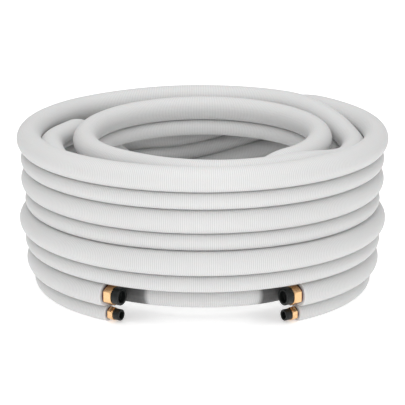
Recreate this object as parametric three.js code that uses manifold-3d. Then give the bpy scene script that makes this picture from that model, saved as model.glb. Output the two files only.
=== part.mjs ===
// Coiled split line set: two foam-sleeved copper lines wound together, with flare nuts and plugs.
// Millimetres, +Z up, origin on the floor under the middle of the coil, the ends at the front (-Y).
// The coil lies flat. Its route follows the turn angle: 0 front, 90 left, 180 back, 270 right.

import * as THREE from 'three';
import { mergeVertices } from 'three/addons/utils/BufferGeometryUtils.js';
import Module from 'manifold-3d';

const wasm = await Module();
wasm.setup();

// Clearances
const GAP = 0.3; // between pieces that touch
const CUT_MARGIN = 1; // how far a cutting body stands out of what it cuts

// Foam sleeves and copper tubes
const LARGE_SLEEVE_DIAMETER = 32;
const SMALL_SLEEVE_DIAMETER = 22;
const LARGE_TUBE_DIAMETER = 12.7;
const SMALL_TUBE_DIAMETER = 6.35;
const LARGE_TUBE_WALL = 0.8;
const SMALL_TUBE_WALL = 0.75;

// The coil: radius of the large line's centre on its top turn, and how far the others lie inside it
const TOP_TURN_RADIUS = 233.5;
const SECOND_STEP_IN = 5;
const THIRD_STEP_IN = 2;
const FLOOR_STEP_IN = 11;
const INNER_STEP_IN = 75.5;

// The coil: how far its inner turns lie over or under the top level
const BACK_LIFT = 8; // of the top turn's far side
const INNER_BACK_LIFT = 1;
const INNER_SIDE_DROP = 2;
const INNER_END_DROP = 6;
const INNER_FRONT_DROP = 7;

// The coil: where the line ends, and how the small line sits beside the large one
const START_ANGLE = 33.6;
const END_ANGLE = 326.4;
const FLOOR_LEAN = 11; // degrees that the small line leans inwards under the large one
const THIRD_LEAN = 5;
const BASE_LEAN = 80;
const PAIR_GAP = 0.4; // a little more than the common gap, because the two lines also twist
const CLIMB_ROOM = 0.2; // between levels, because lines that climb together draw closer
const CROSSING_ROOM = 11.2; // between the inner turn's pair and the pair that crosses under it
const DIVE_ROOM = 6.5; // between the outer turns and the line that dives to the floor inside them
const BASE_ROOM = 0.5;
const NESTLE = 1.9; // how far the middle turn's outside reaches under the top turn

// Flare nuts and their plugs
const LARGE_FITTING = {
  size: 'large', tubeDiameter: LARGE_TUBE_DIAMETER, tubeWall: LARGE_TUBE_WALL, bareTube: 1,
  nutAcrossFlats: 24, nutLength: 13, nutSeat: 4, flareDiameter: 17.2, threadDiameter: 18.6,
  plugDiameter: 22.7, plugHead: 10, recessDiameter: 16, recessDepth: 7, spigotLength: 4,
};
const SMALL_FITTING = {
  size: 'small', tubeDiameter: SMALL_TUBE_DIAMETER, tubeWall: SMALL_TUBE_WALL, bareTube: 1,
  nutAcrossFlats: 16, nutLength: 9, nutSeat: 3, flareDiameter: 9.1, threadDiameter: 10.6,
  plugDiameter: 15, plugHead: 9, recessDiameter: 10, recessDepth: 6, spigotLength: 2.5,
};
const NUT_CHAMFER = 1.2;
const PLUG_CHAMFER = 0.8;
const SPIGOT_WALL = 1.6;
const SOCKET_STEPS = 2; // steps of the winding that a tube's end reaches into its sleeve

// Facets
const STEP_ANGLE = 15; // of the winding, between the sections of a swept body
const SLEEVE_SIDES = 12;
const TUBE_SIDES = 16;
const TURNED_SIDES = 24;

// Values worked out from these
const PAIR_OFFSET = (LARGE_SLEEVE_DIAMETER + SMALL_SLEEVE_DIAMETER) / 2 + PAIR_GAP;
const LEVEL_PITCH = LARGE_SLEEVE_DIAMETER + SMALL_SLEEVE_DIAMETER + GAP + PAIR_GAP + CLIMB_ROOM;
const FLOOR_LEVEL = sectionApothem(SMALL_SLEEVE_DIAMETER, SLEEVE_SIDES)
  + PAIR_OFFSET * Math.cos(THREE.MathUtils.degToRad(FLOOR_LEAN));
const THIRD_LEVEL = FLOOR_LEVEL + LEVEL_PITCH;
const SECOND_LEVEL = THIRD_LEVEL + LEVEL_PITCH;
const TOP_LEVEL = SECOND_LEVEL + LEVEL_PITCH;
const CROSSING_LEVEL = TOP_LEVEL - 2 * PAIR_OFFSET - CROSSING_ROOM;
const DIVE_LEVEL = TOP_LEVEL - 2 * LEVEL_PITCH;
const MIDDLE_DROP = 0.4 * LARGE_SLEEVE_DIAMETER; // enough for it to nestle under the top turn
const SECOND_TURN_RADIUS = TOP_TURN_RADIUS - SECOND_STEP_IN;
const THIRD_TURN_RADIUS = TOP_TURN_RADIUS - THIRD_STEP_IN;
const FLOOR_TURN_RADIUS = TOP_TURN_RADIUS - FLOOR_STEP_IN;
const INNER_TURN_RADIUS = TOP_TURN_RADIUS - INNER_STEP_IN;
const BESIDE_TOP_RADIUS = TOP_TURN_RADIUS - LARGE_SLEEVE_DIAMETER - 2 * GAP;
const MIDDLE_TURN_RADIUS = TOP_TURN_RADIUS - LARGE_SLEEVE_DIAMETER + NESTLE;
const DIVE_RADIUS = THIRD_TURN_RADIUS - LARGE_SLEEVE_DIAMETER - DIVE_ROOM;
const BASE_TURN_RADIUS = FLOOR_TURN_RADIUS - LARGE_SLEEVE_DIAMETER - BASE_ROOM;

// The route has three tracks of [turn, angle in that turn, value]. A value eases to the next one.
const RADIUS_TRACK = [
  [0, START_ANGLE, FLOOR_TURN_RADIUS],
  [0, 171, FLOOR_TURN_RADIUS], [0, 211, THIRD_TURN_RADIUS],
  [1, 169, THIRD_TURN_RADIUS], [1, 227, SECOND_TURN_RADIUS],
  [2, 167, SECOND_TURN_RADIUS], [2, 197, TOP_TURN_RADIUS],
  [3, 130, TOP_TURN_RADIUS], [3, 180, BESIDE_TOP_RADIUS],
  [3, 255, BESIDE_TOP_RADIUS], [3, 275, MIDDLE_TURN_RADIUS],
  [3, 290, MIDDLE_TURN_RADIUS], [3, 315, BESIDE_TOP_RADIUS],
  [3, 348, BESIDE_TOP_RADIUS], [4, 40, INNER_TURN_RADIUS],
  [4, 358, INNER_TURN_RADIUS], [5, 84, MIDDLE_TURN_RADIUS],
  [5, 90, MIDDLE_TURN_RADIUS], [5, 114, DIVE_RADIUS],
  [5, 240, DIVE_RADIUS], [5, 300, BASE_TURN_RADIUS],
  [6, 215, BASE_TURN_RADIUS], [6, 266, FLOOR_TURN_RADIUS],
  [6, END_ANGLE, FLOOR_TURN_RADIUS],
];
const HEIGHT_TRACK = [
  [0, START_ANGLE, FLOOR_LEVEL],
  [0, 171, FLOOR_LEVEL], [0, 229, THIRD_LEVEL],
  [1, 169, THIRD_LEVEL], [1, 227, SECOND_LEVEL],
  [2, 167, SECOND_LEVEL], [2, 225, TOP_LEVEL],
  [3, 130, TOP_LEVEL], [3, 178, TOP_LEVEL + BACK_LIFT],
  [3, 215, TOP_LEVEL + BACK_LIFT], [3, 268, TOP_LEVEL - MIDDLE_DROP],
  [3, 290, TOP_LEVEL - MIDDLE_DROP], [3, 325, TOP_LEVEL],
  [3, 350, TOP_LEVEL], [4, 40, TOP_LEVEL - INNER_FRONT_DROP],
  [4, 180, TOP_LEVEL + INNER_BACK_LIFT], [4, 270, TOP_LEVEL - INNER_SIDE_DROP],
  [4, 316, TOP_LEVEL - INNER_END_DROP], [5, 10, CROSSING_LEVEL],
  [5, 30, CROSSING_LEVEL], [5, 84, TOP_LEVEL - MIDDLE_DROP],
  [5, 112, TOP_LEVEL - MIDDLE_DROP], [5, 166, DIVE_LEVEL],
  [5, 200, DIVE_LEVEL], [5, 340, FLOOR_LEVEL],
  [6, END_ANGLE, FLOOR_LEVEL],
];
const LEAN_TRACK = [
  [0, START_ANGLE, FLOOR_LEAN],
  [0, 171, FLOOR_LEAN], [0, 229, THIRD_LEAN],
  [1, 169, THIRD_LEAN], [1, 227, 0],
  [5, 105, 0], [5, 190, BASE_LEAN],
  [6, 150, BASE_LEAN], [6, 230, FLOOR_LEAN],
  [6, END_ANGLE, FLOOR_LEAN],
];

const MATERIALS = {
  foam: new THREE.MeshStandardMaterial({ color: 0xe4e4e2, roughness: 0.75, metalness: 0 }),
  copper: new THREE.MeshStandardMaterial({ color: 0xc98a5e, roughness: 0.35, metalness: 1 }),
  brass: new THREE.MeshStandardMaterial({ color: 0xdcae72, roughness: 0.3, metalness: 1 }),
  plastic: new THREE.MeshStandardMaterial({ color: 0x16181a, roughness: 0.45, metalness: 0 }),
};

// Distance from the middle of a regular section to the middle of a side
function sectionApothem(diameter, sides) {
  return (diameter / 2) * Math.cos(Math.PI / sides);
}

// A track's value at a total angle, with a smooth step from each of its stations to the next
function trackValue(track, angle) {
  const angles = track.map(([turn, inTurn]) => 360 * turn + inTurn);
  let index = angles.findIndex((stationAngle) => stationAngle > angle) - 1;
  if (index < 0) {
    index = track.length - 2;
  }
  const share = THREE.MathUtils.smoothstep(angle, angles[index], angles[index + 1]);
  return THREE.MathUtils.lerp(track[index][2], track[index + 1][2], share);
}

// The large line's centre at a total angle
function largeLinePoint(angle) {
  const turned = THREE.MathUtils.degToRad(angle);
  const radius = trackValue(RADIUS_TRACK, angle);
  const height = trackValue(HEIGHT_TRACK, angle);
  return new THREE.Vector3(-radius * Math.sin(turned), -radius * Math.cos(turned), height);
}

// The way a line runs at a total angle, from the points just before and after it
function runDirection(linePoint, angle) {
  const reach = 0.5;
  return linePoint(angle + reach).sub(linePoint(angle - reach)).normalize();
}

// The small line's centre: beside the large one at the pair's offset, leaning inwards from straight below
function smallLinePoint(angle) {
  const along = runDirection(largeLinePoint, angle);
  const below = new THREE.Vector3(0, 0, -1).projectOnPlane(along).normalize();
  const inwards = new THREE.Vector3().crossVectors(below, along);
  const lean = THREE.MathUtils.degToRad(trackValue(LEAN_TRACK, angle));
  return largeLinePoint(angle)
    .addScaledVector(below, PAIR_OFFSET * Math.cos(lean))
    .addScaledVector(inwards, PAIR_OFFSET * Math.sin(lean));
}

// The angles at which the swept bodies have a section: both ends and every whole step between them
function stationAngles() {
  const first = START_ANGLE;
  const last = 360 * 6 + END_ANGLE;
  const angles = [first];
  for (let angle = Math.ceil(first / STEP_ANGLE) * STEP_ANGLE; angle < last; angle += STEP_ANGLE) {
    if (angle > first) {
      angles.push(angle);
    }
  }
  return [...angles, last];
}

// A line's stations: the point, the way it runs, and the upright and sideways axes of its section
function lineStations(linePoint) {
  return stationAngles().map((angle) => {
    const along = runDirection(linePoint, angle);
    const upright = new THREE.Vector3(0, 0, 1).projectOnPlane(along).normalize();
    const sideways = new THREE.Vector3().crossVectors(along, upright);
    return {
      point: linePoint(angle), along, upright, sideways,
    };
  });
}

// A station moved along its own direction
function shifted(station, distance) {
  return { ...station, point: station.point.clone().addScaledVector(station.along, distance) };
}

// A path through given stations, whose sections keep their upright axis
class StationPath extends THREE.Curve {
  constructor(stations) {
    super();
    this.stations = stations;
  }

  getPoint(share, target = new THREE.Vector3()) {
    const place = share * (this.stations.length - 1);
    const index = Math.min(Math.floor(place), this.stations.length - 2);
    return target.lerpVectors(this.stations[index].point, this.stations[index + 1].point, place - index);
  }

  getSpacedPoints() {
    return this.stations.map(({ point }) => point);
  }

  computeFrenetFrames() {
    return {
      tangents: this.stations.map(({ along }) => along),
      normals: this.stations.map(({ upright }) => upright),
      binormals: this.stations.map(({ sideways }) => sideways),
    };
  }
}

// A regular outline with a side at the bottom and its corners on the given diameter
function roundOutline(diameter, sides) {
  const corners = [];
  for (let side = 0; side < sides; side += 1) {
    const turned = (2 * Math.PI * (side + 0.5)) / sides;
    corners.push(new THREE.Vector2((diameter / 2) * Math.cos(turned), (diameter / 2) * Math.sin(turned)));
  }
  return corners;
}

// A round body swept through stations, bored through where a bore diameter is given
function sweptRound(stations, diameter, sides, bore = 0) {
  const shape = new THREE.Shape(roundOutline(diameter, sides));
  if (bore > 0) {
    shape.holes.push(new THREE.Path(roundOutline(bore, sides)));
  }
  return new THREE.ExtrudeGeometry(shape, {
    steps: stations.length - 1, extrudePath: new StationPath(stations), bevelEnabled: false,
  });
}

// A turned body from [radius, distance along the axis] corners that close on themselves
function turned(corners) {
  const profile = [...corners, corners[0]].map(([radius, along]) => new THREE.Vector2(radius, along));
  return new THREE.LatheGeometry(profile, TURNED_SIDES).rotateX(Math.PI / 2);
}

// The closed solid of a geometry, without the triangles that collapse on a turning axis
function solidOf(geometry) {
  const bare = geometry.clone();
  bare.deleteAttribute('normal');
  bare.deleteAttribute('uv');
  const merged = mergeVertices(bare, 1e-4);
  const triangles = [];
  for (let start = 0; start < merged.index.count; start += 3) {
    const corners = [0, 1, 2].map((corner) => merged.index.getX(start + corner));
    if (new Set(corners).size === 3) {
      triangles.push(...corners);
    }
  }
  const vertProperties = new Float32Array(merged.attributes.position.array);
  const triVerts = new Uint32Array(triangles);
  return new wasm.Manifold(new wasm.Mesh({ numProp: 3, vertProperties, triVerts }));
}

function geometryOf(solid) {
  const mesh = solid.getMesh();
  const geometry = new THREE.BufferGeometry();
  geometry.setAttribute('position', new THREE.BufferAttribute(mesh.vertProperties, 3));
  geometry.setIndex(new THREE.BufferAttribute(mesh.triVerts, 1));
  geometry.computeVertexNormals();
  return geometry;
}

function namedMesh(name, geometry, material) {
  const mesh = new THREE.Mesh(geometry, material);
  mesh.name = name;
  return mesh;
}

// The stations next to one end of a line, from inside it to the end, all running outwards
function endStations(stations, atStart) {
  if (!atStart) {
    return stations.slice(-SOCKET_STEPS - 1);
  }
  return stations.slice(0, SOCKET_STEPS + 1).reverse().map((station) => ({
    ...station, along: station.along.clone().negate(), sideways: station.sideways.clone().negate(),
  }));
}

// A foam sleeve over the whole winding, with a socket at each end for the bare tube
function sleeve(stations, diameter, tubeDiameter) {
  let solid = solidOf(sweptRound(stations, diameter, SLEEVE_SIDES));
  for (const atStart of [true, false]) {
    const inner = endStations(stations, atStart);
    const socket = [...inner, shifted(inner[SOCKET_STEPS], CUT_MARGIN)];
    solid = solid.subtract(solidOf(sweptRound(socket, tubeDiameter + 2 * GAP, TUBE_SIDES)));
  }
  return geometryOf(solid);
}

// One end of a copper tube: from its socket in the sleeve, out through the nut, to its flare
function tubeEnd(inner, fitting) {
  const { tubeDiameter, tubeWall, flareDiameter, bareTube, nutSeat } = fitting;
  const end = inner[SOCKET_STEPS];
  const run = [shifted(inner[0], GAP), ...inner.slice(1), shifted(end, bareTube + nutSeat)];
  const bore = tubeDiameter - 2 * tubeWall;
  const straight = solidOf(sweptRound(run, tubeDiameter, TUBE_SIDES, bore));
  const outer = sectionApothem(tubeDiameter, TUBE_SIDES);
  const opening = flareDiameter / 2;
  const base = bareTube + nutSeat;
  const rise = opening - outer;
  const flare = turned([
    [bore / 2, base - tubeWall],
    [outer, base - tubeWall],
    [outer, base],
    [opening, base + rise],
    [opening - tubeWall * Math.SQRT2, base + rise],
    [bore / 2, base],
  ]);
  return geometryOf(straight.add(solidOf(flare.applyMatrix4(fittingFrame(end)))));
}

// The frame of a fitting at the end of its sleeve: Z runs out of the line, X is upright
function fittingFrame(end) {
  return new THREE.Matrix4().makeBasis(end.upright, end.sideways, end.along).setPosition(end.point);
}

// A flare nut: a chamfered hexagon with a throat for the tube, a cone for its flare and a wide mouth
function flareNut(fitting) {
  const {
    tubeDiameter, nutAcrossFlats, nutLength, nutSeat, flareDiameter, threadDiameter,
  } = fitting;
  const flat = nutAcrossFlats / 2;
  const corner = flat / Math.cos(Math.PI / 6);
  const throat = tubeDiameter / 2 + GAP;
  const opening = flareDiameter / 2 + GAP;
  const mouth = threadDiameter / 2;
  const coneStart = nutSeat + GAP;
  const hexagon = new THREE.CylinderGeometry(corner, corner, nutLength, 6)
    .rotateX(Math.PI / 2).rotateZ(Math.PI / 2).translate(0, 0, nutLength / 2);
  const rounding = turned([
    [0, 0], [flat, 0], [corner, NUT_CHAMFER],
    [corner, nutLength - NUT_CHAMFER], [flat, nutLength], [0, nutLength],
  ]);
  const passage = turned([
    [0, -CUT_MARGIN], [throat, -CUT_MARGIN],
    [throat, nutSeat - GAP], [opening, nutSeat - GAP + opening - throat],
    [mouth, coneStart + opening - throat], [mouth, nutLength + CUT_MARGIN],
    [0, nutLength + CUT_MARGIN],
  ]);
  return geometryOf(solidOf(hexagon).intersect(solidOf(rounding)).subtract(solidOf(passage)));
}

// A plug: a chamfered head with a round recess in its face, and a hollow spigot in the nut's mouth
function endPlug(fitting) {
  const { threadDiameter, plugDiameter, plugHead, recessDiameter, recessDepth, spigotLength } = fitting;
  const spigot = threadDiameter / 2 - GAP;
  const head = plugDiameter / 2;
  const recess = recessDiameter / 2;
  const recessFloor = plugHead - recessDepth;
  return geometryOf(solidOf(turned([
    [spigot - SPIGOT_WALL, -spigotLength], [spigot, -spigotLength], [spigot, 0],
    [head - PLUG_CHAMFER, 0], [head, PLUG_CHAMFER],
    [head, plugHead - PLUG_CHAMFER], [head - PLUG_CHAMFER, plugHead],
    [recess, plugHead], [recess, recessFloor], [0, recessFloor],
    [0, recessFloor / 2], [spigot - SPIGOT_WALL, recessFloor / 2],
  ])));
}

// The nut, the plug and the copper at one end of a line
function endFitting(stations, atStart, fitting) {
  const side = atStart ? 'left' : 'right';
  const inner = endStations(stations, atStart);
  const nut = namedMesh(`${fitting.size}_flare_nut_${side}`, flareNut(fitting), MATERIALS.brass);
  nut.position.z = fitting.bareTube;
  const plug = namedMesh(`${fitting.size}_plug_${side}`, endPlug(fitting), MATERIALS.plastic);
  plug.position.z = fitting.bareTube + fitting.nutLength + GAP;
  const onEnd = new THREE.Group();
  onEnd.applyMatrix4(fittingFrame(inner[SOCKET_STEPS]));
  onEnd.add(nut, plug);
  const tube = namedMesh(`${fitting.size}_copper_tube_${side}`, tubeEnd(inner, fitting), MATERIALS.copper);
  return [onEnd, tube];
}

const group = new THREE.Group();
const largeStations = lineStations(largeLinePoint);
const smallStations = lineStations(smallLinePoint);
const largeSleeve = sleeve(largeStations, LARGE_SLEEVE_DIAMETER, LARGE_TUBE_DIAMETER);
const smallSleeve = sleeve(smallStations, SMALL_SLEEVE_DIAMETER, SMALL_TUBE_DIAMETER);
group.add(
  namedMesh('large_sleeve', largeSleeve, MATERIALS.foam),
  namedMesh('small_sleeve', smallSleeve, MATERIALS.foam),
);
for (const atStart of [true, false]) {
  group.add(...endFitting(largeStations, atStart, LARGE_FITTING));
  group.add(...endFitting(smallStations, atStart, SMALL_FITTING));
}

export default group;
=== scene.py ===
"""Dresses the coiled split line set: two foam-sleeved copper lines wound together, with flare nuts and plugs.

The lines are swept along the winding's route, whose radius, height and lean are eased tracks over the
turn angle. Lengths are in millimetres until a mesh is made, and metres from there on.
"""

import logging
import math
from dataclasses import dataclass, field
from enum import Enum

import bpy
import numpy as np
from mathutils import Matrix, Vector


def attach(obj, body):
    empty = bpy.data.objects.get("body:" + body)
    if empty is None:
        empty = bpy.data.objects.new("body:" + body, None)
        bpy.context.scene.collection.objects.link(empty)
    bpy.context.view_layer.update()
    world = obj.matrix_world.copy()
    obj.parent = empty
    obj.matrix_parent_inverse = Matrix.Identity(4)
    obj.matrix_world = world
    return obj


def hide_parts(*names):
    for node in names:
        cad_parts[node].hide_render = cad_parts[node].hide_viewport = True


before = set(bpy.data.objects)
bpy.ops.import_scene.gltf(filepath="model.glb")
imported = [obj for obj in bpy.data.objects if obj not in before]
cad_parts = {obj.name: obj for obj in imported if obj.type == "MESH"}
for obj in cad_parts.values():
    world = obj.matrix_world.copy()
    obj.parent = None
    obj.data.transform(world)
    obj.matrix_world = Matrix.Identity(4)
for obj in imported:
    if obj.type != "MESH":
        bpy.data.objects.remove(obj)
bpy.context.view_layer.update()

MM = 0.001
TURN = 360.0
GAP = 0.3
REACH = 0.5  # degrees to either side of a point, between which its direction is measured
LOG = logging.getLogger("line_set")


class Line(Enum):
    """One of the two lines of the pair."""

    LARGE = "large"
    SMALL = "small"


class End(Enum):
    """One of the two ends of the winding."""

    LEFT = "left"
    RIGHT = "right"


def smooth(share: np.ndarray) -> np.ndarray:
    """The smooth step 3u^2 - 2u^3 of shares from 0 to 1."""
    return share * share * (3 - 2 * share)


def eased(stations: list[tuple[float, float, float]], angles: np.ndarray) -> np.ndarray:
    """A track's values: between two stations the value follows the smooth step.

    Args:
        stations: Turn number, angle in that turn, and value at each station.
        angles: Total turn angles in degrees.

    Returns:
        One value for each angle.
    """
    table = np.array(stations, float)
    places = TURN * table[:, 0] + table[:, 1]
    values = table[:, 2]
    index = np.clip(np.searchsorted(places, angles, side="right") - 1, 0, len(places) - 2)
    share = np.clip((angles - places[index]) / (places[index + 1] - places[index]), 0, 1)
    return values[index] + (values[index + 1] - values[index]) * smooth(share)


def unit(vectors: np.ndarray) -> np.ndarray:
    """Rows of an array scaled to length one."""
    return vectors / np.linalg.norm(vectors, axis=-1, keepdims=True)


@dataclass(frozen=True)
class Winding:
    """The route of the pair. Angle 0 is the front, 90 the left, 180 the back, 270 the right."""

    large_sleeve: float = 32.0
    small_sleeve: float = 22.0
    pair_gap: float = 0.4
    climb_room: float = 0.2
    crossing_room: float = 11.2
    dive_room: float = 6.5
    base_room: float = 0.5
    nestle: float = 1.9
    sleeve_sides: int = 12
    top: float = 233.5
    second_step_in: float = 5.0
    third_step_in: float = 2.0
    floor_step_in: float = 11.0
    inner_step_in: float = 75.5
    back_lift: float = 8.0
    inner_back_lift: float = 1.0
    inner_side_drop: float = 2.0
    inner_end_drop: float = 6.0
    inner_front_drop: float = 7.0
    middle_share: float = 0.4
    full_turns: int = 6
    start: float = 33.6
    end: float = 326.4
    floor_lean: float = 11.0
    third_lean: float = 5.0
    base_lean: float = 80.0

    @property
    def offset(self) -> float:
        """Distance between the centres of the two lines."""
        return (self.large_sleeve + self.small_sleeve) / 2 + self.pair_gap

    @property
    def pitch(self) -> float:
        """Height from one turn of the pair to the next."""
        return self.large_sleeve + self.small_sleeve + GAP + self.pair_gap + self.climb_room

    @property
    def floor_level(self) -> float:
        """Height of the large line over the floor on the lowest turn."""
        rest = self.small_sleeve / 2 * math.cos(math.pi / self.sleeve_sides)
        return rest + self.offset * math.cos(math.radians(self.floor_lean))

    @property
    def last(self) -> float:
        """Total angle at which the winding ends. It starts at the angle named start."""
        return self.full_turns * TURN + self.end

    def radius(self, angles: np.ndarray) -> np.ndarray:
        """Radius of the large line's centre at each angle."""
        floor, third, second, inner = (self.top - step for step in (
            self.floor_step_in, self.third_step_in, self.second_step_in, self.inner_step_in))
        beside_top = self.top - self.large_sleeve - 2 * GAP
        middle = self.top - self.large_sleeve + self.nestle
        dive = third - self.large_sleeve - self.dive_room
        base = floor - self.large_sleeve - self.base_room
        return eased([
            (0, self.start, floor), (0, 171, floor), (0, 211, third),
            (1, 169, third), (1, 227, second),
            (2, 167, second), (2, 197, self.top),
            (3, 130, self.top), (3, 180, beside_top),
            (3, 255, beside_top), (3, 275, middle), (3, 290, middle), (3, 315, beside_top),
            (3, 348, beside_top), (4, 40, inner),
            (4, 358, inner), (5, 84, middle), (5, 90, middle), (5, 114, dive),
            (5, 240, dive), (5, 300, base), (6, 215, base), (6, 266, floor),
            (6, self.end, floor),
        ], angles)

    def height(self, angles: np.ndarray) -> np.ndarray:
        """Height of the large line's centre at each angle."""
        low = self.floor_level
        third, second, top = (low + level * self.pitch for level in (1, 2, 3))
        lifted = top + self.back_lift
        middle = top - self.middle_share * self.large_sleeve
        crossing = top - 2 * self.offset - self.crossing_room
        dive = top - 2 * self.pitch
        return eased([
            (0, self.start, low), (0, 171, low), (0, 229, third),
            (1, 169, third), (1, 227, second),
            (2, 167, second), (2, 225, top),
            (3, 130, top), (3, 178, lifted), (3, 215, lifted),
            (3, 268, middle), (3, 290, middle), (3, 325, top), (3, 350, top),
            (4, 40, top - self.inner_front_drop), (4, 180, top + self.inner_back_lift),
            (4, 270, top - self.inner_side_drop), (4, 316, top - self.inner_end_drop),
            (5, 10, crossing), (5, 30, crossing), (5, 84, middle), (5, 112, middle),
            (5, 166, dive), (5, 200, dive),
            (5, 340, low), (6, self.end, low),
        ], angles)

    def lean(self, angles: np.ndarray) -> np.ndarray:
        """How far the small line leans inwards from straight below the large one, in degrees."""
        return eased([
            (0, self.start, self.floor_lean), (0, 171, self.floor_lean), (0, 229, self.third_lean),
            (1, 169, self.third_lean), (1, 227, 0),
            (5, 105, 0), (5, 190, self.base_lean),
            (6, 150, self.base_lean), (6, 230, self.floor_lean), (6, self.end, self.floor_lean),
        ], angles)

    def large_centre(self, angles: np.ndarray) -> np.ndarray:
        """The large line's centre: a circle's point at the track's radius and height."""
        turned = np.radians(angles)
        radius = self.radius(angles)
        return np.stack([-radius * np.sin(turned), -radius * np.cos(turned), self.height(angles)], -1)

    def centre(self, line: Line, angles: np.ndarray) -> np.ndarray:
        """A line's centre at each angle.

        Args:
            line: The line of the pair.
            angles: Total turn angles in degrees.

        Returns:
            Points. The small line's are the large one's, moved by the pair's offset across the run,
            down by the cosine of the lean and inwards by its sine.
        """
        points = self.large_centre(angles)
        if line is Line.LARGE:
            return points
        along = unit(self.large_centre(angles + REACH) - self.large_centre(angles - REACH))
        down = np.array([0.0, 0.0, -1.0])
        below = unit(down - along * (along @ down)[:, None])
        inwards = np.cross(below, along)
        lean = np.radians(self.lean(angles))[:, None]
        return points + self.offset * (np.cos(lean) * below + np.sin(lean) * inwards)

    def run(self, line: Line, angles: np.ndarray) -> tuple[np.ndarray, np.ndarray, np.ndarray, np.ndarray]:
        """A line's centre with the axes of its section.

        Args:
            line: The line of the pair.
            angles: Total turn angles in degrees.

        Returns:
            The points, the way the line runs, and the section's upright and sideways axes.
        """
        along = unit(self.centre(line, angles + REACH) - self.centre(line, angles - REACH))
        up = np.array([0.0, 0.0, 1.0])
        upright = unit(up - along * (along @ up)[:, None])
        return self.centre(line, angles), along, upright, np.cross(along, upright)

    def end_frame(self, line: Line, end: End) -> tuple[np.ndarray, np.ndarray, np.ndarray, np.ndarray]:
        """Where a sleeve ends, the way out of it, and the upright and sideways axes there."""
        angle = np.array([self.start if end is End.LEFT else self.last])
        point, along, upright, _ = (rows[0] for rows in self.run(line, angle))
        out = -along if end is End.LEFT else along
        return point, out, upright, np.cross(out, upright)


def swept(points: np.ndarray, upright: np.ndarray, sideways: np.ndarray, radii: np.ndarray,
          sides: int) -> np.ndarray:
    """Round sections carried along a path: point + radius * (cos t * upright + sin t * sideways).

    Args:
        points: Centre of each section.
        upright: First axis of each section.
        sideways: Second axis of each section.
        radii: Radius of each section, or one radius for each of its corners.
        sides: Number of corners.

    Returns:
        Rings of points, one ring for each section.
    """
    turned = 2 * np.pi * np.arange(sides) / sides
    radii = np.broadcast_to(np.asarray(radii, float).reshape(len(points), -1), (len(points), sides))
    across = radii[..., None] * (np.cos(turned)[None, :, None] * upright[:, None]
                                 + np.sin(turned)[None, :, None] * sideways[:, None])
    return points[:, None] + across


def softened(corners: list[tuple[float, float, float]], steps: int = 4) -> np.ndarray:
    """A profile with its corners rounded by the curve (1-t)^2 a + 2t(1-t) c + t^2 b.

    Args:
        corners: Radius, distance along the axis, and how far the rounding reaches from the corner.
        steps: Spans of each rounding.

    Returns:
        The profile's points as rows of radius and distance.
    """
    spots = np.array([corner[:2] for corner in corners], float)
    share = np.linspace(0, 1, steps + 1)[:, None]
    rows = []
    for index, (_, _, reach) in enumerate(corners):
        spot = spots[index]
        if reach <= 0 or index in (0, len(corners) - 1):
            rows.append(spot[None])
            continue
        before = spot + reach * unit(spots[index - 1] - spot)
        after = spot + reach * unit(spots[index + 1] - spot)
        rows.append((1 - share) ** 2 * before + 2 * share * (1 - share) * spot + share ** 2 * after)
    return np.concatenate(rows)


class Closing(Enum):
    """How the first and last ring of a surface are closed."""

    POLES = "poles"
    LOOP = "loop"


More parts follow.
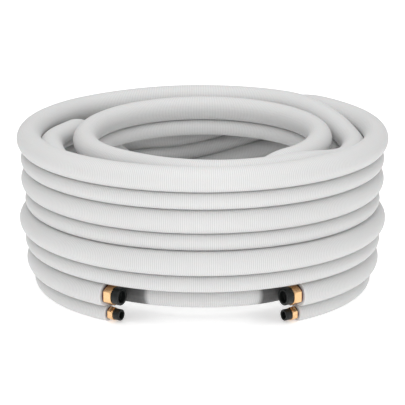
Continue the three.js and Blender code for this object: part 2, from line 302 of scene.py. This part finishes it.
def surface(name: str, rings: np.ndarray, closing: Closing, uv: np.ndarray | None = None,
            painted_shade_share: np.ndarray | None = None, sharp: float = 40.0) -> bpy.types.Object:
    """Makes a closed mesh object from rings of points, in millimetres.

    Args:
        name: The piece's name.
        rings: Points on a grid, ring by ring.
        closing: Whether the end rings close to their middles, or the last joins the first.
        uv: One pair for each ring and corner, with a last column that repeats the first corner.
        painted_shade_share: How much painted shade each ring carries, kept as the point attribute "tint".
        sharp: Angle in degrees past which an edge shows as sharp.

    Returns:
        The object, with its faces pointing outwards.
    """
    rows, around = rings.shape[:2]
    spans = rows if closing is Closing.LOOP else rows - 1
    row, column = np.divmod(np.arange(spans * around), around)
    after_row, after_column = (row + 1) % rows, (column + 1) % around
    quads = np.stack([row * around + column, row * around + after_column,
                      after_row * around + after_column, after_row * around + column], -1)
    points = rings.reshape(-1, 3)
    corners, sizes = [quads.ravel()], [np.full(len(quads), 4)]
    spots = np.stack([np.stack([row, column], -1), np.stack([row, column + 1], -1),
                      np.stack([after_row, column + 1], -1), np.stack([after_row, column], -1)], 1)
    places = [spots.reshape(-1, 2)]
    if closing is Closing.POLES:
        points = np.concatenate([points, rings[0].mean(0)[None], rings[-1].mean(0)[None]])
        lap = np.arange(around)
        for ring, pole, flip in ((0, rows * around, False), (rows - 1, rows * around + 1, True)):
            rim, ahead = ring * around + lap, ring * around + (lap + 1) % around
            fan = np.stack([rim, np.full(around, pole), ahead], -1)
            spot = np.stack([np.full(around, ring), lap], -1)
            fan_places = np.stack([spot, spot, spot + [0, 1]], 1)
            if flip:
                fan, fan_places = fan[:, ::-1], fan_places[:, ::-1]
            corners.append(fan.ravel())
            sizes.append(np.full(around, 3))
            places.append(fan_places.reshape(-1, 2))
    if flux(points, quads) < 0:
        corners = [faces.reshape(-1, size[0])[:, ::-1].ravel() for faces, size in zip(corners, sizes)]
        places = [spots.reshape(-1, size[0], 2)[:, ::-1].reshape(-1, 2) for spots, size in zip(places, sizes)]
    indices, totals = np.concatenate(corners), np.concatenate(sizes)
    mesh = bpy.data.meshes.new(name)
    mesh.vertices.add(len(points))
    mesh.vertices.foreach_set("co", (points * MM).astype(np.float32).ravel())
    mesh.loops.add(len(indices))
    mesh.loops.foreach_set("vertex_index", indices.astype(np.int32))
    mesh.polygons.add(len(totals))
    mesh.polygons.foreach_set("loop_start", np.concatenate([[0], np.cumsum(totals)[:-1]]).astype(np.int32))
    mesh.polygons.foreach_set("use_smooth", np.ones(len(totals), bool))
    if uv is not None:
        layer = mesh.uv_layers.new(name="skin")
        at = np.concatenate(places)
        layer.data.foreach_set("uv", uv[at[:, 0], at[:, 1]].astype(np.float32).ravel())
    if painted_shade_share is not None:
        shares = np.zeros(len(points), np.float32)
        shares[:rows * around] = np.repeat(painted_shade_share, around)
        mesh.attributes.new("painted_shade_share", "FLOAT", "POINT").data.foreach_set("value", shares)
    mesh.update(calc_edges=True)
    mesh.validate()
    mesh.set_sharp_from_angle(angle=math.radians(sharp))
    piece = bpy.data.objects.new(name, mesh)
    bpy.context.scene.collection.objects.link(piece)
    return piece


def flux(points: np.ndarray, quads: np.ndarray) -> float:
    """Six times the volume that quads enclose, from the triple products of their two triangles."""
    a, b, c, d = (points[quads[:, corner]] for corner in range(4))
    return float((np.einsum("ij,ij->i", a, np.cross(b, c)) + np.einsum("ij,ij->i", a, np.cross(c, d))).sum())


def fitted(profile: np.ndarray, place: tuple[np.ndarray, np.ndarray, np.ndarray, np.ndarray],
           sides: int, shape: np.ndarray | None = None) -> np.ndarray:
    """Turns a profile about the axis of a line's end.

    Args:
        profile: Rows of radius and distance along the axis.
        place: Point, way out, upright and sideways axis of the end.
        sides: Corners of each ring.
        shape: Radius for each ring and corner, where the section isn't round.

    Returns:
        Rings of points.
    """
    point, out, upright, sideways = place
    centres = point + profile[:, 1:2] * out
    axes = (np.broadcast_to(axis, centres.shape) for axis in (upright, sideways))
    return swept(centres, *axes, profile[:, 0] if shape is None else shape, sides)


class Nodes:
    """A material's node tree with short calls for the nodes that the finishes share."""

    def __init__(self, name: str) -> None:
        """Starts a material whose Principled shader is ready to be set."""
        self.material = bpy.data.materials.new(name)
        self.material.use_nodes = True
        self.tree = self.material.node_tree
        self.shader = self.tree.nodes["Principled BSDF"]

    def add(self, kind: str, inputs: dict | None = None, **settings) -> bpy.types.Node:
        """Adds a node.

        Args:
            kind: The node's type name.
            inputs: Value or source socket for each input, by name or number.
            settings: Properties of the node.

        Returns:
            The node.
        """
        node = self.tree.nodes.new(kind)
        for key, value in settings.items():
            setattr(node, key, value)
        for key, value in (inputs or {}).items():
            if isinstance(value, bpy.types.NodeSocket):
                self.tree.links.new(value, node.inputs[key])
            else:
                node.inputs[key].default_value = value
        return node

    def math(self, operation: str, *values) -> bpy.types.NodeSocket:
        """Adds a Math node and returns its result."""
        return self.add("ShaderNodeMath", dict(enumerate(values)), operation=operation).outputs[0]

    def blend(self, factor, first, second) -> bpy.types.NodeSocket:
        """Mixes two colours by a factor and returns the result."""
        node = self.add("ShaderNodeMix", {0: factor, 6: first, 7: second}, data_type="RGBA")
        return node.outputs[2]

    def noise(self, scale: float, detail: float, vector: bpy.types.NodeSocket) -> bpy.types.NodeSocket:
        """Adds a noise texture and returns its factor."""
        inputs = {"Vector": vector, "Scale": scale, "Detail": detail}
        return self.add("ShaderNodeTexNoise", inputs).outputs["Fac"]

    def object_place(self) -> bpy.types.NodeSocket:
        """The object coordinates."""
        return self.add("ShaderNodeTexCoord").outputs["Object"]

    def steady(self, **values) -> None:
        """Sets constants on the shader's own sockets, with spaces written as underscores."""
        for key, value in values.items():
            self.shader.inputs[key.replace("_", " ")].default_value = value

    def drive(self, socket: str, source: bpy.types.NodeSocket) -> None:
        """Links a source to one of the shader's sockets."""
        self.tree.links.new(source, self.shader.inputs[socket])

    def relief(self, height: bpy.types.NodeSocket, depth: float, strength: float = 1.0) -> None:
        """Bumps the surface by a height map whose full range is depth millimetres."""
        bump = self.add("ShaderNodeBump", {"Height": height, "Distance": depth * MM, "Strength": strength})
        self.drive("Normal", bump.outputs["Normal"])


@dataclass(frozen=True)
class FoamSkin:
    """White foam with a skin that is embossed with fine ribs across the line, with painted shade in the rib
    hollows and a painted shadow of the plugs on the base turn.
    """

    light: tuple[float, float, float, float] = (0.68, 0.68, 0.675, 1.0)
    shade: tuple[float, float, float, float] = (0.63, 0.63, 0.63, 1.0)
    # Painted shade: the colour of the rib hollows, darker as though shaded.
    groove_painted_shade: tuple[float, float, float, float] = (0.42, 0.42, 0.42, 1.0)
    # Painted shadow: the plugs' shadow on the base turn, near-black with lighter streaks.
    painted_shadow_deep: tuple[float, float, float, float] = (0.05, 0.05, 0.05, 1.0)
    painted_shadow_streak: tuple[float, float, float, float] = (0.13, 0.13, 0.13, 1.0)
    rib_pitch: float = 2.5
    rib_depth: float = 0.35
    rib_share: float = 0.3
    rib_wander: float = 2.5
    cell_pitch: float = 3.5
    cell_share: float = 0.1
    grain_share: float = 0.35
    mid_height: float = 0.4
    groove_narrowing: float = 3.0
    groove_shade_share: float = 0.5
    streaks_along: float = 25.0
    streaks_around: float = 260.0
    roughness: float = 0.62

    def material(self) -> bpy.types.Material:
        """Ribs follow the sleeve's UV map, in metres along and around it; tone follows noise, painted shade
        darkens the rib hollows, and the point attribute lays the plugs' painted shadow on the base turn.
        """
        nodes = Nodes("embossed white foam")
        skin = nodes.add("ShaderNodeUVMap", uv_map="skin").outputs[0]
        split = nodes.add("ShaderNodeSeparateXYZ", {0: skin})
        along, around = split.outputs["X"], split.outputs["Y"]
        place = nodes.object_place()
        wander = nodes.math("MULTIPLY", nodes.noise(160.0, 2.0, place), self.rib_wander)
        rib_phase = nodes.math("MULTIPLY", along, 2 * math.pi / (self.rib_pitch * MM))
        ribs = nodes.math("SINE", nodes.math("ADD", rib_phase, wander))
        cells = nodes.math("SINE", nodes.math("MULTIPLY", around, 2 * math.pi / (self.cell_pitch * MM)))
        grain = nodes.math("MULTIPLY", nodes.noise(900.0, 3.0, place), self.grain_share)
        waffle = nodes.math("ADD", nodes.math("MULTIPLY", ribs, self.rib_share),
                            nodes.math("MULTIPLY", cells, self.cell_share))
        height = nodes.math("ADD", nodes.math("ADD", waffle, self.mid_height), grain)
        nodes.relief(height, self.rib_depth, 0.7)
        # Painted shade: the hollows between the ribs are coloured darker, on top of the bump.
        hollows = nodes.math("POWER", nodes.math("MULTIPLY_ADD", ribs, -0.5, 0.5), self.groove_narrowing)
        patches = nodes.blend(nodes.noise(9.0, 3.0, place), self.shade, self.light)
        tone = nodes.blend(nodes.math("MULTIPLY", hollows, self.groove_shade_share), patches, self.groove_painted_shade)
        stretched = nodes.add("ShaderNodeCombineXYZ", {
            0: nodes.math("MULTIPLY", along, self.streaks_along),
            1: nodes.math("MULTIPLY", around, self.streaks_around),
        }).outputs[0]
        # Painted shadow of the plugs: a streaked near-black, laid on where the point attribute marks the base
        # turn.
        dark = nodes.blend(nodes.noise(1.0, 3.0, stretched), self.painted_shadow_deep, self.painted_shadow_streak)
        painted_shade_share = nodes.add("ShaderNodeAttribute", attribute_name="painted_shade_share").outputs["Fac"]
        nodes.drive("Base Color", nodes.blend(painted_shade_share, tone, dark))
        nodes.steady(Roughness=self.roughness, Subsurface_Weight=0.05, Subsurface_Scale=0.003)
        return nodes.material


@dataclass(frozen=True)
class CopperFinish:
    """Drawn copper, slightly dulled."""

    bright: tuple[float, float, float, float] = (0.83, 0.46, 0.30, 1.0)
    dull: tuple[float, float, float, float] = (0.55, 0.27, 0.16, 1.0)

    def material(self) -> bpy.types.Material:
        """Tone and roughness vary with noise over the object."""
        nodes = Nodes("drawn copper")
        cloud = nodes.noise(60.0, 4.0, nodes.object_place())
        nodes.drive("Base Color", nodes.blend(cloud, self.dull, self.bright))
        nodes.drive("Roughness", nodes.math("MULTIPLY_ADD", cloud, 0.2, 0.2))
        nodes.steady(Metallic=1.0)
        return nodes.material


@dataclass(frozen=True)
class BrassFinish:
    """Turned brass with fine tool marks and a band of painted shade at its rear, where it meets the foam."""

    bright: tuple[float, float, float, float] = (0.90, 0.60, 0.33, 1.0)
    dull: tuple[float, float, float, float] = (0.66, 0.40, 0.20, 1.0)
    # Painted shade: the dark brown of the rear band, where the nut meets the foam.
    painted_rear_shade: tuple[float, float, float, float] = (0.13, 0.05, 0.045, 1.0)

    def material(self) -> bpy.types.Material:
        """Tone varies with noise, the point attribute darkens the rear band with painted shade, and a finer
        noise gives the tool marks.
        """
        nodes = Nodes("turned brass")
        place = nodes.object_place()
        cloud = nodes.noise(90.0, 3.0, place)
        marks = nodes.noise(1800.0, 2.0, place)
        painted_shade_share = nodes.add("ShaderNodeAttribute", attribute_name="painted_shade_share").outputs["Fac"]
        metal = nodes.blend(cloud, self.dull, self.bright)
        nodes.drive("Base Color", nodes.blend(painted_shade_share, metal, self.painted_rear_shade))
        nodes.drive("Roughness", nodes.math("MULTIPLY_ADD", cloud, 0.15, 0.18))
        nodes.relief(marks, 0.03, 0.4)
        nodes.steady(Metallic=1.0)
        return nodes.material


@dataclass(frozen=True)
class PlugPlastic:
    """Black moulded plastic with a faint grain."""

    colour: tuple[float, float, float, float] = (0.004, 0.005, 0.005, 1.0)
    worn: tuple[float, float, float, float] = (0.012, 0.014, 0.013, 1.0)

    def material(self) -> bpy.types.Material:
        """A little dust lightens it by noise."""
        nodes = Nodes("black moulded plastic")
        place = nodes.object_place()
        dust = nodes.noise(120.0, 4.0, place)
        nodes.drive("Base Color", nodes.blend(dust, self.colour, self.worn))
        nodes.drive("Roughness", nodes.math("MULTIPLY_ADD", dust, 0.2, 0.25))
        nodes.relief(nodes.noise(2500.0, 2.0, place), 0.03, 0.3)
        nodes.steady(Specular_IOR_Level=0.3)
        return nodes.material


@dataclass
class FoamSleeve:
    """The foam over one line, from end to end, with a bored socket where the tube comes out."""

    winding: Winding
    line: Line
    diameter: float
    tube: float
    socket_angle: float = 26.4
    step: float = 2.0
    sides: int = 36
    edge: float = 1.2
    edge_rings: int = 5
    socket_rings: int = 12
    swell: float = 0.3
    climb_swell: float = 0.3
    climbing_turns: int = 3
    climb_from: float = 160.0
    climb_to: float = 235.0
    climb_edge: float = 8.0
    dark_from: float = 21.0
    dark_to: float = 33.5
    dark_edge: float = 2.0

    def swelling(self, angles: np.ndarray) -> np.ndarray:
        """How much the soft foam fills the gaps to its neighbours: more where the outer turns climb."""
        in_turn = np.mod(angles, TURN)
        rise = np.clip((in_turn - self.climb_from) / self.climb_edge, 0, 1)
        fall = np.clip((self.climb_to - in_turn) / self.climb_edge, 0, 1)
        return self.swell + self.climb_swell * rise * fall * (angles < self.climbing_turns * TURN)

    def darkness(self, angles: np.ndarray) -> np.ndarray:
        """How much painted shadow of the plugs the large sleeve carries at each angle.

        Args:
            angles: Total turn angles in degrees.

        Returns:
            One share for each angle: 1 in a soft-edged stretch at either side of the base turn's front, where
                the plugs' shadow is painted.
        """
        if self.line is Line.SMALL:
            return np.zeros(len(angles))
        from_front = np.abs(angles - self.winding.full_turns * TURN)
        rise = np.clip((from_front - self.dark_from) / self.dark_edge + 0.5, 0, 1)
        fall = np.clip((self.dark_to - from_front) / self.dark_edge + 0.5, 0, 1)
        return smooth(rise) * smooth(fall)

    def rings(self) -> tuple[np.ndarray, np.ndarray, np.ndarray]:
        """Sections along the whole sleeve: out of one socket, over the end's edge, along, and back in.

        The foam is flattened where it would dip below the floor.

        Returns:
            The rings, their UV pairs in metres along and around the sleeve, and each ring's share of painted
            shadow.
        """
        first, last = self.winding.start, self.winding.last
        outside = self.diameter / 2
        bore = np.full(self.socket_rings, self.tube / 2 + GAP)
        level = np.zeros(self.socket_rings)
        turn = np.linspace(0, np.pi / 2, self.edge_rings)
        lip = np.stack([outside - self.edge + self.edge * np.sin(turn), self.edge * (1 - np.cos(turn))], -1)
        length = np.arange(first, last, self.step)[1:]
        angles = np.concatenate([
            np.linspace(first + self.socket_angle, first, self.socket_rings), np.full(len(lip), first),
            length,
            np.full(len(lip), last), np.linspace(last, last - self.socket_angle, self.socket_rings),
        ])
        inset = np.concatenate([level, lip[:, 1], np.zeros(len(length)), -lip[::-1, 1], level])
        radii = np.concatenate([bore, lip[:, 0], outside + self.swelling(length), lip[::-1, 0], bore])
        points, along, upright, sideways = self.winding.run(self.line, angles)
        rings = swept(points + inset[:, None] * along, upright, sideways, radii, self.sides)
        rings[..., 2] = np.maximum(rings[..., 2], 0.0)
        travel = np.concatenate([[0], np.cumsum(np.linalg.norm(np.diff(points, axis=0), axis=1))])
        lap = np.arange(self.sides + 1) / self.sides * np.pi * self.diameter
        uv = np.stack(np.broadcast_arrays(travel[:, None], lap[None]), -1) * MM
        return rings, uv, self.darkness(angles)

    def build(self, skin: bpy.types.Material) -> bpy.types.Object:
        """Makes the sleeve and stands it in for its plain solid."""
        rings, uv, painted_shade_share = self.rings()
        piece = surface(f"{self.line.value}_foam_sleeve", rings, Closing.POLES, uv, painted_shade_share)
        piece.data.materials.append(skin)
        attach(piece, "root")
        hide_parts(f"{self.line.value}_sleeve")
        return piece


@dataclass(frozen=True)
class FittingSizes:
    """What sets one line's fittings, in millimetres: diameters, widths across flats and lengths."""

    tube: float
    wall: float
    bare: float
    flats: float
    nut_length: float
    seat: float
    flare: float
    thread: float
    plug: float
    head: float
    recess: float
    recess_depth: float
    spigot: float


LARGE_FITTING = FittingSizes(
    tube=12.7, wall=0.8, bare=1, flats=24, nut_length=13, seat=4, flare=17.2, thread=18.6,
    plug=22.7, head=10, recess=16, recess_depth=7, spigot=4)
SMALL_FITTING = FittingSizes(
    tube=6.35, wall=0.75, bare=1, flats=16, nut_length=9, seat=3, flare=9.1, thread=10.6,
    plug=15, head=9, recess=10, recess_depth=6, spigot=2.5)


@dataclass
class EndFitting:
    """The copper, nut and plug at one end of one line. Distances run outwards from the sleeve's end."""

    winding: Winding
    line: Line
    end: End
    sizes: FittingSizes
    socket_angle: float = 26.0
    socket_rings: int = 14
    tube_sides: int = 40
    chamfer: float = 1.2
    chamfer_rings: int = 8
    chamfer_share: float = 0.97
    corner_share: float = 0.985
    # Where the painted shade of the rear band runs out, as shares of the nut's length.
    rear_shade_from: float = 0.16
    rear_shade_to: float = 0.2
    axis_hole: float = 0.02
    boss: float = 0.9
    boss_top: float = 0.45
    boss_foot: float = 0.6
    spigot_wall: float = 1.6
    sides: int = 72

    @property
    def tag(self) -> str:
        """The words that end this fitting's piece names."""
        return f"{self.line.value}_{self.end.value}"

    @property
    def place(self) -> tuple[np.ndarray, np.ndarray, np.ndarray, np.ndarray]:
        """Point and axes of the sleeve's end."""
        return self.winding.end_frame(self.line, self.end)

    def finish(self, piece: bpy.types.Object, node: str, slot: str, coat: bpy.types.Material) -> None:
        """Gives a piece its material, its body and the plain solid that it stands for."""
        piece.data.materials.append(coat)
        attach(piece, "root")
        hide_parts(f"{self.line.value}_{node}_{self.end.value}")
        LOG.info("built %s", piece.name)

    def copper(self, coat: bpy.types.Material) -> None:
        """The tube's end: a wall swept out of the sleeve, widening by a straight cone to its flare."""
        sizes = self.sizes
        left = self.end is End.LEFT
        mouth = self.winding.start if left else self.winding.last
        inner = mouth + (self.socket_angle if left else -self.socket_angle)
        angles = np.linspace(inner, mouth, self.socket_rings)[:-1]
        points, _, upright, sideways = self.winding.run(self.line, angles)
        if left:
            sideways = -sideways
        point, out, up, side = self.place
        base = sizes.bare + sizes.seat
        rise = (sizes.flare - sizes.tube) / 2
        straight = np.array([0.0, sizes.bare / 2, base, base + rise])
        path = np.concatenate([points, point + straight[:, None] * out])
        upright = np.concatenate([upright, np.tile(up, (len(straight), 1))])
        sideways = np.concatenate([sideways, np.tile(side, (len(straight), 1))])
        outer = np.full(len(path), sizes.tube / 2)
        hollow = np.full(len(path), sizes.tube / 2 - sizes.wall)
        outer[-1] = sizes.flare / 2
        hollow[-1] = sizes.flare / 2 - sizes.wall * math.sqrt(2)
        rings = np.concatenate([swept(path, upright, sideways, outer, self.tube_sides),
                                swept(path, upright, sideways, hollow, self.tube_sides)[::-1]])
        self.finish(surface(f"copper_{self.tag}", rings, Closing.LOOP), "copper_tube", "copper", coat)

    def nut(self, coat: bpy.types.Material) -> None:
        """The nut: a hexagon whose radius is flat / cos(angle from a flat's middle), with chamfered ends."""
        sizes = self.sizes
        length = sizes.nut_length
        flat = sizes.flats / 2
        corner = flat / math.cos(math.pi / 6)
        turned = 2 * np.pi * np.arange(self.sides) / self.sides
        hexagon = flat / np.cos(np.mod(turned, np.pi / 3) - np.pi / 6)
        hexagon = np.minimum(hexagon, corner * self.corner_share)
        slope = np.linspace(0, 1, self.chamfer_rings)
        band = np.array([self.rear_shade_from, self.rear_shade_to]) * length
        rises = np.concatenate([slope * self.chamfer, band, length - slope[::-1] * self.chamfer])
        face = flat * self.chamfer_share
        limit = np.concatenate([slope, np.ones(2), slope[::-1]]) * (corner - face) + face
        outer = np.minimum(hexagon[None], limit[:, None])
        # Painted shade: full from the rear chamfer to the band's start, fading out across the band.
        painted_shade_share = np.clip((band[1] - rises) / (band[1] - band[0]), 0, 1)
        throat, mouth, opening = sizes.tube / 2 + GAP, sizes.thread / 2, sizes.flare / 2 + GAP
        cone = sizes.seat - GAP
        inner = softened([
            (mouth, length, 0), (mouth, length - 0.6, 0.3),
            (mouth, cone + 2 * GAP + opening - throat, 0.2), (opening, cone + opening - throat, 0.2),
            (throat, cone, 0.2), (throat, 0.0, 0),
        ])
        rises = np.concatenate([rises, inner[:, 1]]) + sizes.bare
        shape = np.concatenate([outer, np.repeat(inner[:, :1], self.sides, 1)])
        profile = np.stack([shape[:, 0], rises], -1)
        rings = fitted(profile, self.place, self.sides, shape)
        painted_shade_share = np.concatenate([painted_shade_share, np.zeros(len(inner))])
        piece = surface(f"flare_nut_{self.tag}", rings, Closing.LOOP, painted_shade_share=painted_shade_share, sharp=25.0)
        self.finish(piece, "flare_nut", "brass", coat)

    def stopper(self, coat: bpy.types.Material) -> None:
        """The plug: a turned head with a rounded rim and a low boss in its recess, on a hollow spigot."""
        sizes = self.sizes
        spigot, head, recess = sizes.thread / 2 - GAP, sizes.plug / 2, sizes.recess / 2
        hollow = spigot - self.spigot_wall
        floor = sizes.head - sizes.recess_depth
        profile = softened([
            (self.axis_hole, floor + self.boss, 0), (recess * self.boss_top, floor + self.boss, 0.4),
            (recess * self.boss_foot, floor, 0.5), (recess, floor, 0.6),
            (recess, sizes.head, 0.7), (head, sizes.head, 1.1), (head, 0.0, 0.7),
            (spigot, 0.0, 0.2), (spigot, -sizes.spigot, 0.4),
            (hollow, -sizes.spigot, 0.4), (hollow, floor / 2, 0.4), (self.axis_hole, floor / 2, 0),
        ])
        profile[:, 1] += sizes.bare + sizes.nut_length + GAP
        rings = fitted(profile, self.place, self.sides)
        self.finish(surface(f"plug_{self.tag}", rings, Closing.POLES), "plug", "plastic", coat)


@dataclass
class Studio:
    """The pale floor, the soft lights and the camera."""

    aim_height: float = 202.2
    distance: float = 3000.0
    elevation: float = 13.74
    look_down: float = 15.474
    lens: float = 197.9
    lamps: list[tuple[str, tuple[float, float, float], float, float]] = field(default_factory=lambda: [
        ("overhead softbox", (0.0, -0.2, 2.5), 1.8, 22.0),
        ("key softbox", (-0.5, -1.9, 2.1), 1.6, 14.0),
        ("right softbox", (2.2, -1.6, 1.4), 1.6, 5.0),
    ])
    sky: float = 0.6
    floor_glow: float = 0.42
    fill_place: tuple[float, float, float] = (0.0, -2.6, 1.15)
    fill_aim: tuple[float, float, float] = (0.0, 0.2, 0.13)
    fill_power: float = 50.0
    fill_cone: float = 14.0
    fill_radius: float = 0.2

    def floor(self) -> None:
        """A wide white floor, lit from within as a light table is, whose tone varies faintly."""
        bpy.ops.mesh.primitive_plane_add(size=60.0, location=(0, 0, 0))
        plane = bpy.context.object
        plane.name = "floor"
        nodes = Nodes("pale studio floor")
        cloud = nodes.noise(0.6, 2.0, nodes.object_place())
        nodes.drive("Base Color", nodes.blend(cloud, (0.93, 0.93, 0.93, 1), (0.95, 0.95, 0.95, 1)))
        nodes.steady(Roughness=0.9, Specular_IOR_Level=0.1,
                     Emission_Color=(1.0, 1.0, 1.0, 1.0), Emission_Strength=self.floor_glow)
        plane.data.materials.append(nodes.material)

    @staticmethod
    def hang(lamp: bpy.types.Light, place: tuple[float, float, float], aim: Vector) -> None:
        """Puts a lamp in the scene.

        Args:
            lamp: The lamp.
            place: Where it hangs, in metres.
            aim: The point that it faces, in metres.
        """
        holder = bpy.data.objects.new(lamp.name, lamp)
        holder.location = place
        holder.rotation_euler = (aim - Vector(place)).to_track_quat("-Z", "Y").to_euler()
        bpy.context.scene.collection.objects.link(holder)

    def lights(self) -> None:
        """Soft area lights face the coil under an even white sky, and a weak low one reaches into it."""
        world = bpy.data.worlds.new("white studio")
        bpy.context.scene.world = world
        world.use_nodes = True
        sky = world.node_tree.nodes["Background"]
        sky.inputs["Color"].default_value = (1.0, 1.0, 1.0, 1.0)
        sky.inputs["Strength"].default_value = self.sky
        middle = Vector((0, 0, self.aim_height * MM / 2))
        for name, place, size, power in self.lamps:
            lamp = bpy.data.lights.new(name, "AREA")
            lamp.size = size
            lamp.energy = power
            self.hang(lamp, place, middle)
        fill = bpy.data.lights.new("bore fill", "SPOT")
        fill.energy = self.fill_power
        fill.spot_size = math.radians(self.fill_cone)
        fill.spot_blend = 1.0
        fill.shadow_soft_size = self.fill_radius
        self.hang(fill, self.fill_place, Vector(self.fill_aim))

    def camera(self) -> None:
        """The photograph's camera: in front of the coil, looking a little down."""
        raised, tilt = math.radians(self.elevation), math.radians(self.look_down)
        lens = bpy.data.cameras.new("camera")
        lens.lens = self.lens
        lens.sensor_width = 36.0
        lens.clip_end = 100.0
        camera = bpy.data.objects.new("camera", lens)
        camera.location = (0.0, -self.distance * math.cos(raised) * MM,
                           (self.aim_height + self.distance * math.sin(raised)) * MM)
        camera.rotation_euler = (math.pi / 2 - tilt, 0.0, 0.0)
        bpy.context.scene.collection.objects.link(camera)
        bpy.context.scene.camera = camera
        bpy.context.scene.view_settings.view_transform = "Standard"


def main() -> None:
    """Builds the stage, both sleeves and the twelve pieces of the four fittings."""
    logging.basicConfig(level=logging.INFO, format="%(message)s")
    studio = Studio()
    studio.camera()
    studio.floor()
    studio.lights()
    winding = Winding()
    finishes = (FoamSkin(), CopperFinish(), BrassFinish(), PlugPlastic())
    skin, copper, brass, plastic = (finish.material() for finish in finishes)
    FoamSleeve(winding, Line.LARGE, winding.large_sleeve, LARGE_FITTING.tube).build(skin)
    FoamSleeve(winding, Line.SMALL, winding.small_sleeve, SMALL_FITTING.tube).build(skin)
    for end in End:
        for line, sizes in ((Line.LARGE, LARGE_FITTING), (Line.SMALL, SMALL_FITTING)):
            fitting = EndFitting(winding, line, end, sizes)
            fitting.copper(copper)
            fitting.nut(brass)
            fitting.stopper(plastic)


if __name__ == "__main__":
    main()
